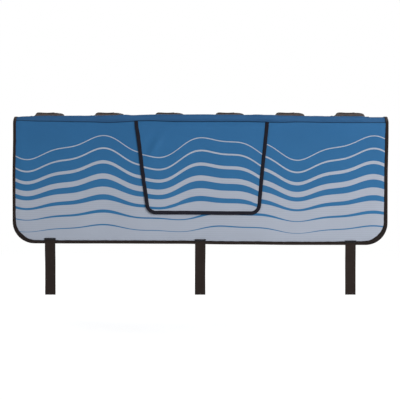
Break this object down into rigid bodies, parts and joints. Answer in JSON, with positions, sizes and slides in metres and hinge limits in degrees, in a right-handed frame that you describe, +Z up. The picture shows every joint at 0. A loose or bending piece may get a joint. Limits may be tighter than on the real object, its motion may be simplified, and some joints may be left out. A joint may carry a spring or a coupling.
{
  "type": "tailgate bike pad",
  "caption": "Padded cloth cover that hangs over a pickup truck's tailgate, with down-tube cradles on top, an access flap and hanging webbing straps.",
  "frame": {"origin": "middle of the underside of the top, where the pad sits on the tailgate's top edge", "axes": "+X along the tailgate, -Y out behind the truck where the printed panel hangs, +Y into the truck bed, +Z up"},
  "size_m": [1.56, 0.1139, 0.761],
  "materials": {
    "printed_cloth": "matte printed coated cloth, blue with a pale grey print",
    "blue_cloth": "matte coated cloth, plain blue",
    "rear_cloth": "matte coated cloth, plain black",
    "lining": "brushed, soft",
    "foam": "closed-cell foam, matte",
    "binding_tape": "woven tape, matte",
    "flap_tape": "woven tape, matte",
    "webbing": "woven webbing, matte",
    "hook_and_loop": "hook and loop pile",
    "moulded_plastic": "moulded, satin",
    "cradle_rubber": "moulded, matte"
  },
  "bodies": {
    "root": {"front_face": "printed_cloth", "front_foam": "foam", "front_lining": "lining", "top_face": "blue_cloth", "top_foam": "foam", "top_lining": "lining", "rear_face": "rear_cloth", "rear_foam": "foam", "rear_lining": "lining", "edge_binding": "binding_tape", "window_binding": "binding_tape", "flap_face": "printed_cloth", "flap_lining": "lining", "flap_binding": "flap_tape", "hook_patch_left": "hook_and_loop", "hook_patch_right": "hook_and_loop", "loop_patch_left": "hook_and_loop", "loop_patch_right": "hook_and_loop", "hanging_strap_left": "webbing", "buckle_loop_left": "webbing", "buckle_left": "moulded_plastic", "hanging_strap_centre": "webbing", "buckle_loop_centre": "webbing", "buckle_centre": "moulded_plastic", "hanging_strap_right": "webbing", "buckle_loop_right": "webbing", "buckle_right": "moulded_plastic", "tube_cradle_1": "cradle_rubber", "tube_strap_1": "webbing", "tube_ring_1": "moulded_plastic", "ring_tab_1": "webbing", "tube_cradle_2": "cradle_rubber", "tube_strap_2": "webbing", "tube_ring_2": "moulded_plastic", "ring_tab_2": "webbing", "tube_cradle_3": "cradle_rubber", "tube_strap_3": "webbing", "tube_ring_3": "moulded_plastic", "ring_tab_3": "webbing", "tube_cradle_4": "cradle_rubber", "tube_strap_4": "webbing", "tube_ring_4": "moulded_plastic", "ring_tab_4": "webbing", "tube_cradle_5": "cradle_rubber", "tube_strap_5": "webbing", "tube_ring_5": "moulded_plastic", "ring_tab_5": "webbing", "tube_cradle_6": "cradle_rubber", "tube_strap_6": "webbing", "tube_ring_6": "moulded_plastic", "ring_tab_6": "webbing"}
  },
  "joints": []
}
